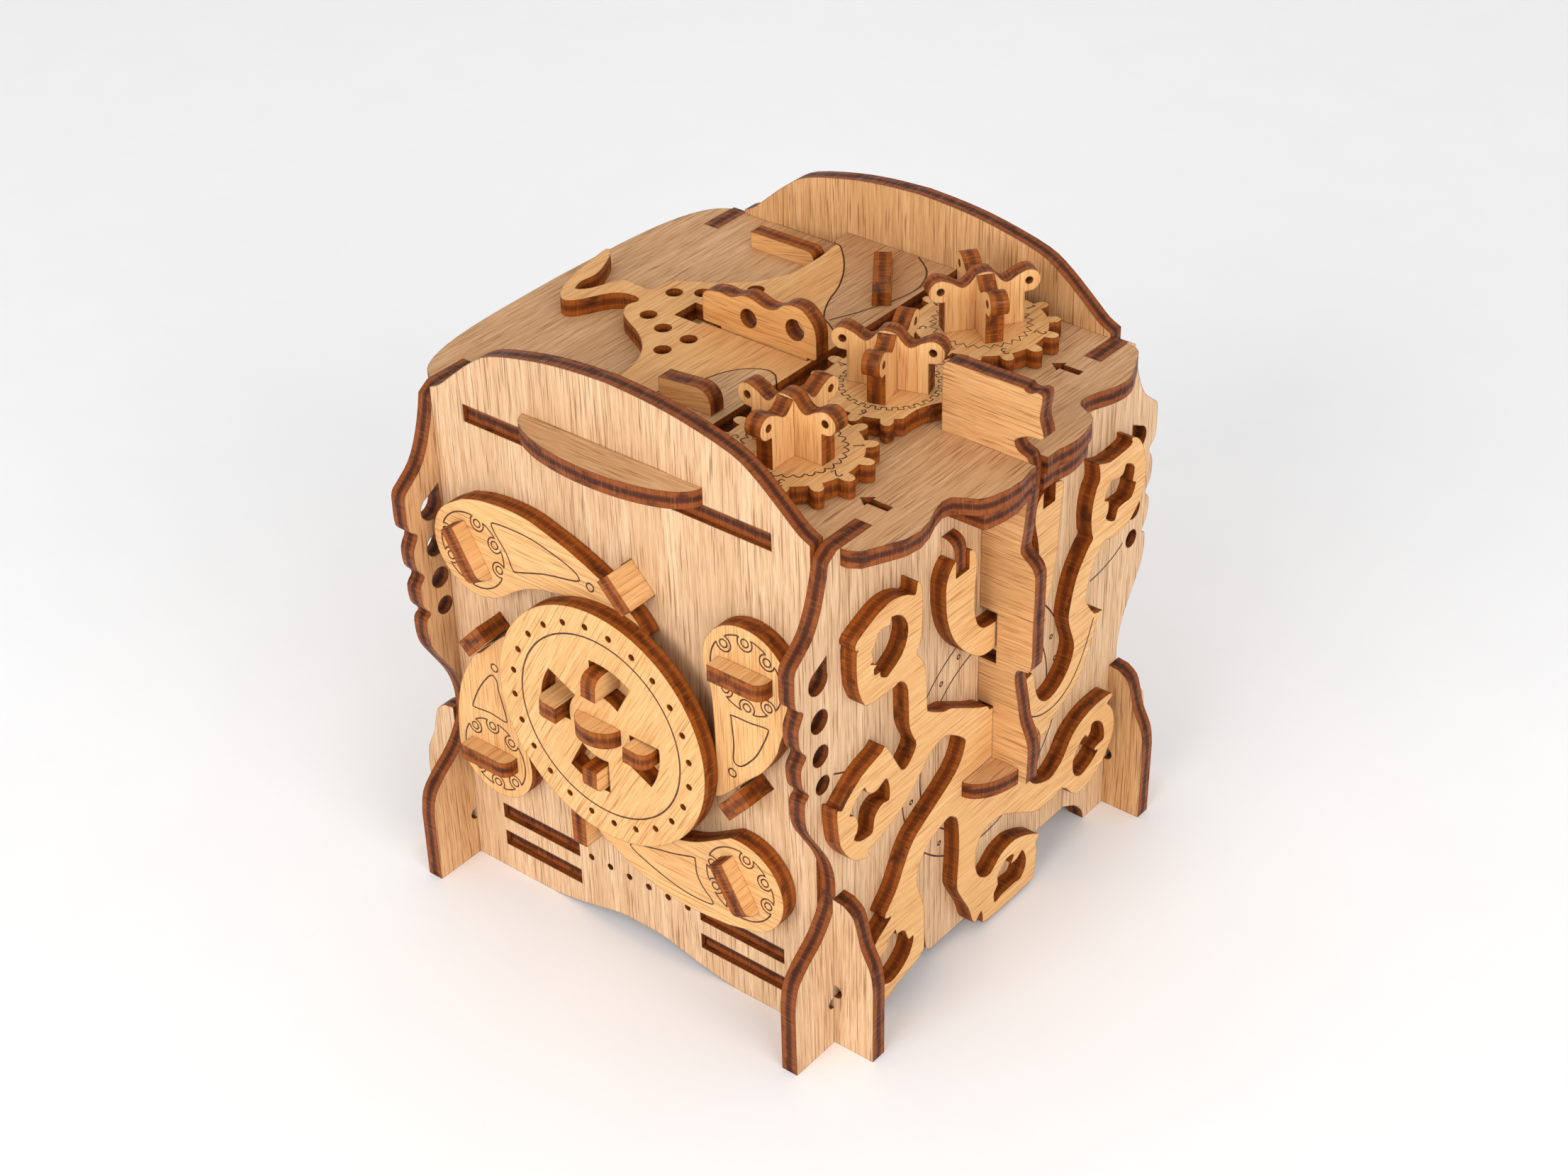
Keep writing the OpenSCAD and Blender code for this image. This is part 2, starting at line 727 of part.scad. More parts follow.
// openings in the rings at the ends of the arms
kraken_holes = [
    [[-39, 104.6], [-35.8, 103.3], [-33.7, 100.2], [-33.7, 96.8], [-35.6, 93.5],
     [-39.4, 91.4], [-40.6, 91], [-42.5, 92.2], [-42.7, 93.5], [-44.4, 93.6], [-44.7, 95.2],
     [-43.8, 95.8], [-45.8, 97], [-44.8, 97.5], [-45.4, 99.9], [-44.4, 100.8],
     [-43.3, 102.9], [-41.7, 103.5], [-39.3, 102.9]],
    [[-40.7, 21.8], [-39.4, 21.9], [-37.5, 22.5], [-37.2, 21], [-35.7, 20.8], [-34.2, 19.8],
     [-33.2, 17.2], [-32.5, 16.4], [-31.2, 16.5], [-31.3, 14.8], [-32.5, 12.2],
     [-34.8, 10.2], [-37.8, 8.9], [-40.2, 9.1], [-42.3, 10.6], [-43.6, 12.7], [-43.8, 16.4],
     [-43.1, 18.7], [-41.1, 19.2], [-40.2, 19.5], [-40.3, 21]],
    [[37.4, 32.5], [39.3, 32.3], [41.4, 30.7], [42.6, 28.4], [43, 25.2], [41.4, 24.9],
     [39.3, 24.6], [39.3, 23.7], [40.6, 23.2], [39.5, 22.2], [36.8, 20.7], [33.9, 20],
     [31.8, 20.9], [30.4, 22.9], [30.1, 25.9], [31, 27.9], [33.1, 30.2], [34.7, 30.9],
     [35.4, 30.2], [36, 29.7], [37, 30.7]],
    [[-48.2, 67.7], [-47.7, 67.1], [-47, 65.8], [-45.3, 64.6], [-43.2, 64.6], [-41, 65.6],
     [-40.1, 64.4], [-39.6, 62.1], [-39.8, 59.4], [-41.6, 59.8], [-43.5, 59.2],
     [-44.9, 57.5], [-45.4, 54.5], [-47.4, 54.4], [-49.5, 54.8], [-51.7, 56.5],
     [-50.7, 57.7], [-50.2, 59.6], [-50.8, 61.7], [-51.8, 62.9], [-53, 63.5], [-51.8, 65.2],
     [-50.2, 66.6]],
    [[46.1, 98.1], [47.8, 97.4], [49.7, 95.5], [49.1, 92.2], [50.6, 91.3], [49, 88.2],
     [46.5, 88.2], [43.8, 88], [43.1, 86.8], [42.6, 85.4], [40.7, 86.1], [38.8, 87.8],
     [39.6, 89.2], [39.6, 91.8], [37.9, 92.7], [39, 95.1], [40.5, 96.5], [42.8, 96],
     [44.9, 96.1], [45.6, 97.2]],
    [[3.6, 14.4], [5.3, 14.6], [6.8, 14.1], [6.8, 13.1], [5.9, 12.1], [6.8, 11.7],
     [8.4, 11.9], [10.1, 13], [11.1, 11.9], [11.9, 9.6], [11.8, 7.3], [10.1, 5], [8, 5.2],
     [4.7, 5.2], [2.2, 5.1], [0.1, 4.5], [-0.5, 5.8], [-0.5, 7.7], [0.9, 9.2], [0.6, 11.7],
     [2.2, 13.3]]
];

module kraken() {
    color("wheat")
        placed()
            sheet_x(half_w, ply)
                scale([ky, kz])
                    difference() {
                        polygon(closed_curve(kraken_edge, 3));
                        for (hole = kraken_holes)
                            polygon(closed_curve(hole, 2));
                    }
}

clip_y = -17;
clip_z = 102 * kz;

tentacle_edge = [
    [-12, 106.2], [-10.4, 104.6], [-10, 101], [-10.5, 96], [-10.5, 91], [-9.6, 87], [-7.6, 84.6],
    [-4.6, 83.7],
    [0, 83.5], [6, 84], [10.8, 86.6], [12.8, 91], [12.1, 96.3], [11, 100.6], [11.6, 105],
    [14, 107], [18, 107.2],
    [21.2, 106], [20.9, 102], [20.3, 96], [20, 90.6], [19, 85], [17.4, 79.6], [14.6, 76.6],
    [10, 76], [4, 76.6],
    [-2, 76.9], [-6, 77], [-9, 78.1], [-12, 80.4], [-15, 83.4], [-18, 87.7], [-20.1, 93.4], [-20.7, 99.4],
    [-20.3, 103], [-18.2, 105.8], [-15, 106.6]
];

module hook_tentacle() {
    color("wheat")
        placed()
            sheet_x(half_w, ply)
                difference() {
                    scale([ky, kz])
                        polygon(closed_curve(tentacle_edge, 3));
                    box_2d(clip_y - 0.3, clip_y + ply + 0.3, clip_z, clip_z + 8);
                    translate([ky * 16 - 2.2, kz * 102.8])
                        square([4.4, 8]);
                }
}

// small hook through the right panel that holds the hooked tentacle
module hook_clip() {
    color("tan")
        placed()
            sheet_y(clip_y, ply)
                translate([half_w, clip_z])
                    polygon(concat(
                        [[-ply - 2, 0.3], [3.4, 0.3], [3.4, 5.4]],
                        arc(0.4, 5.4, 3, 0, 90, 6),
                        [[joint_gap, 8.4], [joint_gap, 4.7], [-ply - 2, 4.7]]));
}

// ---- front ----

arm_spots = [
    [-38.2 * k_front, dial_z + 27.3 * k_front],
    [-37.7 * k_front, dial_z - 27.3 * k_front],
    [33.6 * k_front, dial_z - 28.8 * k_front],
    [37.4 * k_front, dial_z + 27.2 * k_front]
];

// middle and direction of the four stops
stop_spots = [
    [5.6 * k_front, dial_z + 34.9 * k_front, -46.8],
    [35.6 * k_front, dial_z - 4.7 * k_front, 48],
    [-9.9 * k_front, dial_z - 33 * k_front, 90],
    [-37.9 * k_front, dial_z + 5.1 * k_front, 46.5]
];

// round end of each arm: middle, radius, first and last angle; measured from the middle of the disc
arm_rings = [
    [-38.2, 27.3, 11.4, -69, -240],
    [-37.7, -27.3, 11.3, 10, -182],
    [33.6, -28.8, 11.8, 100, -80],
    [37.4, 27.2, 11.4, -25, 190]
];

// the rest of each outline, from the end of the ring around the tail
arm_tails = [
    [[-40, 39.6], [-35, 41.1], [-30, 41.8], [-25, 42], [-20, 41.5], [-15, 40.1], [-10, 38.6], [-5, 36.6],
     [1, 33.7], [4, 31.6], [7.3, 29.4], [10, 26.6], [10.8, 24.8], [8, 24.7], [2, 26.1],
     [-5, 26.9], [-12, 26.3],
     [-18, 25.1], [-22, 23.8], [-26, 21.6], [-30, 18.6], [-33, 16.9]],
    [[-48.5, -19.9], [-47.5, -14.9], [-46, -9.9], [-43.5, -4.9], [-41, -1.1], [-38.8, 0.4], [-33, 6.3],
     [-29.5, 8.6], [-27, 7.1], [-27, 1.1], [-27.5, -6.9], [-27.5, -14.9], [-28, -19.9], [-26.9, -23.6]],
    [[30, -41.9], [22, -42.7], [15, -42.6], [8, -41.4], [2, -39.1], [-3, -36.4], [-6.5, -34.6],
    [-7.3, -31.5],
     [-5, -28.7], [2, -27.4], [8, -26.6], [14, -25.7], [20, -23.9], [24, -21.9], [28, -19.4]],
    [[26.3, 24.2], [27.8, 20.6], [28.3, 15.1], [28.5, 5.1], [28, -2.9], [27.7, -7.4], [30.6, -6],
    [36.5, 0.2],
     [41, 4.6], [44.5, 10.1], [45.8, 14.1], [47.2, 18.6]]
];

// direction of the finger bar on each arm
bar_turn = [-60.5, 0, -60.5, 0];

module arm(i) {
    ring = arm_rings[i];
    color("wheat")
        placed()
            sheet_y(-arm_y - ply, ply)
                difference() {
                    translate([0, dial_z])
                        scale(k_front)
                            polygon(concat(
                                arc(ring[0], ring[1], ring[2], ring[3], ring[4], 24),
                                open_curve(arm_tails[i], 3)));
                    translate(arm_spots[i])
                        rotate(bar_turn[i])
                            square([10.8 + 2 * joint_gap, ply + 2 * joint_gap], center = true);
                }
}

module arm_upper_left() {
    arm(0);
}

module arm_lower_left() {
    arm(1);
}

module arm_lower_right() {
    arm(2);
}

module arm_upper_right() {
    arm(3);
}

// plate on edge in the front, rounded at one outer corner, with a tongue into the hub behind
module finger_bar(i) {
    color("goldenrod")
        placed()
            translate([arm_spots[i][0], 0, arm_spots[i][1]])
                rotate([0, -bar_turn[i], 0])
                    sheet_z(-ply / 2, ply)
                        translate([0, -arm_y - ply])
                            polygon(concat(
                                [[-5.4, 0], [-5.4, ply], [5.4, ply], [5.4, 0], [6.8, 0]],
                                arc(4.3, -grip_out + 2.5, 2.5, 0, -90, 5),
                                [[-7, -grip_out], [-7, 0]]));
}

module bar_upper_left() {
    finger_bar(0);
}

module bar_lower_left() {
    finger_bar(1);
}

module bar_lower_right() {
    finger_bar(2);
}

module bar_upper_right() {
    finger_bar(3);
}

// round hub that turns in the front panel, with a flange inside the case
module turning_hub(spot) {
    translate([spot[0], 0, spot[1]])
        rotate([90, 0, 0]) {
            translate([0, 0, in_d - slip_gap])
                cylinder(r = pin_r, h = ply + 2 * slip_gap);
            translate([0, 0, in_d - slip_gap - flange_t])
                cylinder(r = flange_r, h = flange_t);
        }
}

module hub_upper_left() {
    color("burlywood")
        placed()
            turning_hub(arm_spots[0]);
}

module hub_lower_left() {
    color("burlywood")
        placed()
            turning_hub(arm_spots[1]);
}

module hub_lower_right() {
    color("burlywood")
        placed()
            turning_hub(arm_spots[2]);
}

module hub_upper_right() {
    color("burlywood")
        placed()
            turning_hub(arm_spots[3]);
}

stop_out = 7.5;

// plate on edge that passes through the front panel beside the end of an arm
module stop_peg(i) {
    color("goldenrod")
        placed()
            translate([stop_spots[i][0], 0, stop_spots[i][1]])
                rotate([0, -stop_spots[i][2], 0])
                    translate([-4.4, -half_d - stop_out, -ply / 2])
                        cube([8.8, stop_out + ply + 1, ply]);
}

module stop_top() {
    stop_peg(0);
}

module stop_right() {
    stop_peg(1);
}

module stop_bottom() {
    stop_peg(2);
}

module stop_left() {
    stop_peg(3);
}

slot_in = 8.6 * k_front;
slot_out = 16.7 * k_front;
peg_turn = -3.5;  // the pegs stand a little past the quarter points
slot_turn = 40;   // length of each slot, in degrees at its outer edge

// slot for one peg, wider in angle towards the middle
module dial_slot() {
    polygon(concat(
        arc(0, 0, slot_out, 6 - slot_turn, 6, 8),
        arc(0, 0, slot_in, 12, -slot_turn, 6)));
}

module dial() {
    color("wheat")
        placed()
            sheet_y(-dial_y - ply, ply)
                translate([0, dial_z])
                    difference() {
                        circle(dial_r * k_front, $fn = 96);
                        for (i = [0 : dial_holes - 1])
                            rotate(i * 360 / dial_holes + 5)
                                translate([(dial_r - 4.1) * k_front, 0])
                                    circle(0.75);
                        for (i = [0 : 3])
                            rotate(90 * i)
                                dial_slot();
                        square([8.8 + 2 * joint_gap, ply + 2 * joint_gap], center = true);
                    }
}

// shaft behind the disc: it runs in the hub and in the front panel, and ends in a flange
module dial_shaft() {
    color("burlywood")
        placed() {
            turning_hub([0, dial_z]);
            translate([0, 0, dial_z])
                rotate([90, 0, 0])
                    translate([0, 0, half_d])
                        cylinder(r = pin_r, h = dial_y - half_d);
        }
}

// disc between the dial and the panel; it carries the pegs and turns on the dial's shaft
module dial_hub() {
    color("burlywood")
        placed()
            sheet_y(-arm_y - ply, ply)
                translate([0, dial_z])
                    difference() {
                        circle(hub_r, $fn = 96);
                        circle(pin_r + run_gap);
                    }
}

module dial_grip() {
    color("goldenrod")
        placed()
            sheet_z(dial_z - ply / 2, ply)
                translate([0, -dial_y - ply])
                    polygon(concat(
                        [[-4.4, 0], [-4.4, ply], [4.4, ply], [4.4, 0]],
                        [for (q = arc(0, 0, 1, 0, -180, 18)) [q[0] * 6, q[1] * 4.3]]));
}

peg_out = 3.5;
peg_root = ply + slip_gap;
peg_shape = [
    [-3, -peg_root], [-3, peg_out], [0.8, peg_out], [2, 3.1], [2.7, 2.2], [3, 1], [3, -peg_root]
];

// raised peg on the hub, reaching forward through a slot of the dial
module dial_peg(i) {
    a = 90 * i + peg_turn;
    r = 12.5 * k_front;
    color("goldenrod")
        placed()
            translate([r * cos(a), -dial_y - ply, dial_z + r * sin(a)])
                rotate([0, -a, 0])
                    sheet_z(-ply / 2, ply)
                        polygon([for (q = peg_shape) [q[0] * k_front, -q[1]]]);
}

module peg_right() {
    dial_peg(0);
}

module peg_top() {
    dial_peg(1);
}

module peg_left() {
    dial_peg(2);
}

module peg_bottom() {
    dial_peg(3);
}

front_panel();
back_panel();
left_panel();
right_panel();
lower_floor();
upper_floor();
lid_plate();
lid_under_front();
lid_under_back();
side_fin();
side_shelf();
kraken();
hook_tentacle();
hook_clip();
manta();
wing_front();
wing_back();
top_fin();
front_ledge();
lid_bar();
wing_bar();
wing_grip();
dial();
dial_shaft();
dial_hub();
dial_grip();
peg_top();
peg_left();
peg_bottom();
peg_right();
arm_upper_left();
arm_lower_left();
arm_lower_right();
arm_upper_right();
bar_upper_left();
bar_lower_left();
bar_lower_right();
bar_upper_right();
hub_upper_left();
hub_lower_left();
hub_lower_right();
hub_upper_right();
stop_top();
stop_right();
stop_bottom();
stop_left();
gear_front();
gear_middle();
gear_back();
gear_hub_front();
gear_hub_middle();
gear_hub_back();
knob_front_a();
knob_front_b();
knob_middle_a();
knob_middle_b();
knob_back_a();
knob_back_b();
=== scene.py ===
"""Looks of the plywood puzzle box: veneer, burnt edges, engraved lines, light, floor and camera."""

import json
import math

import bpy
import numpy as np
from mathutils import Matrix, Vector


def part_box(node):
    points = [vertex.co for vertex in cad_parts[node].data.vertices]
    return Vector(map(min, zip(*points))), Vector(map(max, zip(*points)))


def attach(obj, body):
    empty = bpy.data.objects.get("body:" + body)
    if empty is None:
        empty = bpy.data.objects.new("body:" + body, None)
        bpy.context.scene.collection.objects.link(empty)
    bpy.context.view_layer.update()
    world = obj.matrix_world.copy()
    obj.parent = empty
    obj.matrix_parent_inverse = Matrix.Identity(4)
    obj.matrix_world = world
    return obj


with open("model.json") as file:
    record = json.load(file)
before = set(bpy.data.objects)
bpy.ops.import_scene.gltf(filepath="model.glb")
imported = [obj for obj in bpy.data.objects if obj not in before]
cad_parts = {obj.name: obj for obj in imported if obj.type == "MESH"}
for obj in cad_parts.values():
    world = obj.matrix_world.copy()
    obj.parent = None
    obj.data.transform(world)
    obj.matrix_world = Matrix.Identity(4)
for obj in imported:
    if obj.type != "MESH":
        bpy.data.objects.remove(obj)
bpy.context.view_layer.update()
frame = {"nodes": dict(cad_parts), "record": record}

NODES = frame["nodes"]
BODIES = frame["record"]["behaviour"]["bodies"]
BODY_OF = {node: body for body, members in BODIES.items() for node in members}

MM = 0.001
PLY = 4 * MM        # thickness of a sheet
SWAY = 1.6 * MM     # how far the veneer's fibre lines wander
RIM = 0.45 * MM     # reach of the scorched rim along a cut
X_SHIFT = -2 * MM   # the box's own middle against the middle of the overall footprint
ON_FACE = 0.7       # cosine to the sheet's normal above which a point is on its face


def srgb(r, g, b):
    """Linear colour of an 8-bit display colour."""
    out = []
    for c in (r, g, b):
        c = c / 255
        out.append(c / 12.92 if c <= 0.04045 else ((c + 0.055) / 1.055) ** 2.4)
    return (*out, 1.0)


# ---------------------------------------------------------------- materials


class Graph:
    """Short calls for building one material's nodes."""

    def __init__(self, tree):
        self.tree = tree

    def add(self, kind, inputs=None, **settings):
        node = self.tree.nodes.new(kind)
        for key, value in settings.items():
            setattr(node, key, value)
        for key, value in (inputs or {}).items():
            self.put(node.inputs[key], value)
        return node

    def put(self, socket, value):
        if isinstance(value, bpy.types.NodeSocket):
            self.tree.links.new(value, socket)
        else:
            socket.default_value = value

    def math(self, op, a, b=0.0):
        return self.add("ShaderNodeMath", {0: a, 1: b}, operation=op).outputs[0]

    def times(self, a, b):
        return self.math("MULTIPLY", a, b)

    def centred(self, noise, reach):
        """Noise around 0, scaled to that reach."""
        return self.times(self.math("SUBTRACT", noise, 0.5), reach)

    def scaled(self, vector, factor):
        return self.add("ShaderNodeVectorMath", {0: vector, 3: factor}, operation="SCALE").outputs[0]

    def dot(self, a, b):
        node = self.add("ShaderNodeVectorMath", {0: a, 1: b}, operation="DOT_PRODUCT")
        return node.outputs["Value"]

    def join(self, x, y, z):
        return self.add("ShaderNodeCombineXYZ", {0: x, 1: y, 2: z}).outputs[0]

    def noise(self, vector, detail=2.0, rough=0.5):
        inputs = {"Vector": vector, "Scale": 1.0, "Detail": detail, "Roughness": rough}
        return self.add("ShaderNodeTexNoise", inputs).outputs[0]

    def span(self, value, low, high, to_low=0.0, to_high=1.0):
        """The value's way from low to high, smoothed, as to_low to to_high."""
        inputs = {0: value, 1: low, 2: high, 3: to_low, 4: to_high}
        return self.add("ShaderNodeMapRange", inputs, interpolation_type="SMOOTHSTEP").outputs[0]

    def choose(self, which, no, yes):
        """A number: no where which is 0, yes where it is 1."""
        return self.add("ShaderNodeMix", {0: which, 2: no, 3: yes}).outputs[0]

    def bump(self, shader, height, strength, distance):
        inputs = {"Strength": strength, "Distance": distance, "Height": height}
        self.put(shader.inputs["Normal"], self.add("ShaderNodeBump", inputs).outputs[0])

    def mix(self, factor, a, b, blend="MIX"):
        node = self.add("ShaderNodeMix", data_type="RGBA", blend_type=blend)
        self.put(node.inputs[0], factor)
        self.put(node.inputs[6], a)
        self.put(node.inputs[7], b)
        return node.outputs[2]


def new_material(name):
    """An empty material, its graph and its surface shader."""
    material = bpy.data.materials.new(name)
    material.use_nodes = True
    tree = material.node_tree
    tree.nodes.clear()
    graph = Graph(tree)
    shader = graph.add("ShaderNodeBsdfPrincipled")
    output = graph.add("ShaderNodeOutputMaterial")
    tree.links.new(shader.outputs[0], output.inputs[0])
    shader.inputs["Metallic"].default_value = 0.0
    shader.inputs["IOR"].default_value = 1.45
    return material, graph, shader


# tones of the two kinds of sheet: its face, its pores, the outer plies and core of a cut, and the burn
GREY_VENEER = dict(light=srgb(232, 196, 158), dark=srgb(196, 154, 112), pore=srgb(140, 94, 60),
                   outer=srgb(138, 70, 26), core=srgb(74, 33, 14), burn=srgb(50, 21, 8))
BIRCH = dict(light=srgb(234, 188, 130), dark=srgb(212, 156, 96), pore=srgb(176, 116, 64),
             outer=srgb(152, 78, 20), core=srgb(108, 50, 12), burn=srgb(54, 22, 5))


def ply_material(name, normal, base, grain, tone, seed, tone_and_shade=None):
    """Three-ply sheet: veneer on its two faces, laser-burnt plies wherever it is cut.

    Normal and base give the sheet's plane, and the shader's u, v and w run along the grain, across it
    and through the sheet from 0 to 1.
    """
    material, g, shader = new_material(name)
    normal, grain = Vector(normal), Vector(grain)
    across = normal.cross(grain).normalized()
    coord = g.add("ShaderNodeTexCoord")
    place = coord.outputs["Object"]
    u = g.dot(place, tuple(grain))
    v = g.dot(place, tuple(across))
    w = g.math("DIVIDE", g.math("SUBTRACT", g.dot(place, tuple(normal)), base), PLY)

    # veneer: slow waves bend the fibre lines a little
    waves = g.noise(g.join(g.times(u, 26.0), g.times(v, 30.0), seed), 1.0)
    vv = g.math("ADD", v, g.centred(waves, SWAY))
    broad = g.noise(g.join(g.times(u, 9.0), g.times(vv, 95.0), seed + 3.1), 2.0, 0.55)
    fibre = g.noise(g.join(g.times(u, 40.0), g.times(vv, 1600.0), seed + 7.7), 3.0, 0.65)
    fine = g.noise(g.join(g.times(u, 260.0), g.times(vv, 4200.0), seed + 1.3), 2.0, 0.6)
    pore = g.noise(g.join(g.times(u, 85.0), g.times(vv, 3200.0), seed + 11.9), 1.0, 0.5)
    streaks = g.math("ADD", g.times(fibre, 0.65), g.times(fine, 0.35))
    face = g.mix(g.span(streaks, 0.34, 0.66), tone["dark"], tone["light"])
    face = g.mix(g.span(broad, 0.3, 0.72, 0.0, 0.5), face, tone["dark"])
    pores = g.span(pore, 0.57, 0.68, 0.0, 0.75)
    face = g.mix(pores, face, tone["pore"])
    # the part's own tone and painted shade, as factors multiplied into the face colour
    if tone_and_shade:
        face = g.mix(1.0, face, (*tone_and_shade, 1.0), "MULTIPLY")

    # a fine scorched rim where the beam went in
    rounded = g.add("ShaderNodeBevel", {"Radius": RIM}, samples=4)
    geometry = g.add("ShaderNodeNewGeometry")
    turned = g.math("SUBTRACT", 1.0, g.dot(rounded.outputs[0], geometry.outputs["True Normal"]))
    rim = g.span(turned, 0.004, 0.26)
    face = g.mix(g.times(rim, 0.85), face, tone["burn"])

    # cut edges: three plies, and marks of the beam across them
    flat = g.join(g.times(u, 2300.0), g.times(v, 2300.0), g.times(w, 0.9))
    marks = g.noise(flat, 2.0, 0.65)
    cloud = g.noise(g.join(g.times(u, 170.0), g.times(v, 170.0), g.times(w, 1.6)), 3.0, 0.65)
    wob = g.math("ADD", w, g.centred(cloud, 0.16))
    core = g.times(g.span(wob, 0.28, 0.42), g.span(wob, 0.72, 0.58))
    edge = g.mix(core, tone["outer"], tone["core"])
    glue = g.math("ADD", g.times(g.span(wob, 0.28, 0.32), g.span(wob, 0.36, 0.32)),
                  g.times(g.span(wob, 0.64, 0.68), g.span(wob, 0.72, 0.68)))
    edge = g.mix(g.times(glue, 0.45), edge, tone["burn"])
    edge = g.mix(g.span(marks, 0.44, 0.74, 0.0, 0.42), edge, tone["burn"])
    edge = g.mix(g.span(marks, 0.44, 0.28, 0.0, 0.30), edge, tone["pore"])
    edge = g.mix(g.span(cloud, 0.50, 0.70, 0.0, 0.75), edge, tone["burn"])
    edge = g.mix(g.times(rim, 0.6), edge, tone["burn"])

    facing = g.math("ABSOLUTE", g.dot(coord.outputs["Normal"], tuple(normal)))
    is_face = g.math("GREATER_THAN", facing, ON_FACE)
    g.put(shader.inputs["Base Color"], g.mix(is_face, edge, face))
    rough = g.span(streaks, 0.3, 0.7, 0.62, 0.5)
    edge_rough = g.span(marks, 0.3, 0.7, 0.42, 0.68)
    g.put(shader.inputs["Roughness"], g.choose(is_face, edge_rough, rough))
    relief = g.math("SUBTRACT", g.times(streaks, 0.5), g.times(pores, 0.8))
    g.bump(shader, g.choose(is_face, g.times(marks, 1.2), relief), 0.35, 0.06 * MM)
    shader.inputs["Specular IOR Level"].default_value = 0.22
    return material


def turned_material(name, axis, tone, seed):
    """Plain turned hardwood with growth lines along the axis."""
    material, g, shader = new_material(name)
    axis = Vector(axis)
    side = axis.orthogonal().normalized()
    other = axis.cross(side)
    place = g.add("ShaderNodeTexCoord").outputs["Object"]
    u, v, w = (g.dot(place, tuple(way)) for way in (axis, side, other))
    lines = g.noise(g.join(g.times(u, 90.0), g.times(v, 1300.0), g.times(w, 500.0)), 3.0, 0.6)
    cloud = g.noise(g.join(g.times(u, 200.0), seed, g.times(w, 200.0)), 2.0, 0.5)
    colour = g.mix(g.span(lines, 0.36, 0.64), tone["dark"], tone["light"])
    g.put(shader.inputs["Base Color"], g.mix(g.span(cloud, 0.4, 0.7, 0.0, 0.4), colour, tone["pore"]))
    g.put(shader.inputs["Roughness"], g.span(lines, 0.3, 0.7, 0.62, 0.5))
    g.bump(shader, lines, 0.3, 0.05 * MM)
    return material


def scorch_material(name):
    """Line burnt into the veneer: uneven brown, a little glossy."""
    material, g, shader = new_material(name)
    place = g.add("ShaderNodeTexCoord").outputs["Object"]
    patch = g.noise(g.scaled(place, 900.0), 3.0, 0.6)
    colour = g.mix(g.span(patch, 0.35, 0.68), srgb(58, 30, 14), srgb(104, 60, 30))
    g.put(shader.inputs["Base Color"], colour)
    g.put(shader.inputs["Roughness"], g.span(patch, 0.3, 0.7, 0.5, 0.72))
    g.bump(shader, patch, 0.4, 0.05 * MM)
    return material


def broad_face(obj):
    """Unit normal of the sheet: the direction most of the surface faces."""
    total = {}
    for p in obj.data.polygons:
        n = p.normal
        if max(n, key=abs) < 0:
            n = -n
        key = tuple(round(c, 2) for c in n)
        area, sum_n = total.get(key, (0.0, Vector((0, 0, 0))))
        total[key] = (area + p.area, sum_n + n * p.area)
    return max(total.values(), key=lambda t: t[0])[1].normalized()


UP, ACROSS, ALONG_Y = (0, 0, 1), (1, 0, 0), (0, 1, 0)
SLANTED = (0.5, 0, 0.866)
TURNED = {name for name in NODES if name.startswith(("hub_", "gear_hub")) or name == "dial_shaft"}
GREY = {"front_panel", "back_panel", "left_panel", "right_panel", "lid_plate", "lid_under_front",
        "lid_under_back", "lower_floor", "upper_floor", "side_fin", "side_shelf", "hook_clip",
        "front_ledge", "wing_front", "wing_back"}
# grain of the sheets that don't follow the rule of their facing
GRAIN = {"dial": SLANTED, "dial_hub": SLANTED, "front_ledge": ACROSS, "kraken": ALONG_Y,
         "hook_tentacle": ALONG_Y, "side_fin": ACROSS, "top_fin": ACROSS, "arm_upper_left": ACROSS,
         "arm_lower_right": ACROSS, "wing_bar": (1, 0, 0.2), "lid_bar": (1, 0, 0.2),
         "wing_grip": (1, 0, 0.2)}
# per-part factors of red, green and blue: partly the veneers' own warmer and darker tones, partly painted
# shade where a face gets less light, as on the lid and its undersides
TONE_AND_SHADE = {"lid_plate": (0.86, 0.75, 0.62), "lid_under_front": (0.8, 0.68, 0.55),
        "lid_under_back": (0.8, 0.68, 0.55), "wing_front": (0.86, 0.78, 0.66),
        "wing_back": (0.78, 0.66, 0.54), "back_panel": (0.98, 0.86, 0.66),
        "side_fin": (1.0, 0.84, 0.60), "top_fin": (0.97, 0.88, 0.74), "manta": (0.94, 0.88, 0.82),
        "lid_bar": (0.94, 0.88, 0.8), "left_panel": (0.97, 0.88, 0.74),
        "front_ledge": (0.86, 0.78, 0.66), "side_shelf": (0.95, 0.86, 0.70)}


def grain_of(name, normal):
    """Direction of the veneer's fibres, in the plane of the sheet."""
    if name in GRAIN:
        wanted = GRAIN[name]
    elif name.startswith("knob_"):
        wanted = UP
    elif name.startswith(("stop_", "bar_", "peg_")):
        wanted = ALONG_Y
    else:
        lies_flat = abs(normal.z) > max(abs(normal.x), abs(normal.y))
        wanted = ALONG_Y if lies_flat else UP
    wanted = Vector(wanted)
    return (wanted - normal * wanted.dot(normal)).normalized()


for index, name in enumerate(sorted(NODES)):
    obj = NODES[name]
    seed = 1.7 * index
    obj.data.materials.clear()
    if name in TURNED:
        along = UP if name.startswith("gear") else ALONG_Y
        obj.data.materials.append(turned_material("turned_" + name, along, BIRCH, seed))
        continue
    normal = broad_face(obj)
    base = min(normal.dot(v.co) for v in obj.data.vertices)
    tone = GREY_VENEER if name in GREY else BIRCH
    obj.data.materials.append(ply_material("ply_" + name, normal, base, grain_of(name, normal), tone,
                                           seed, TONE_AND_SHADE.get(name)))


# ---------------------------------------------------------------- engraved lines

LINE = 0.42 * MM     # width of an engraved line
PROUD = 0.025 * MM   # how far its scorched crust stands off the face
SCORCH = scorch_material("scorched_line")


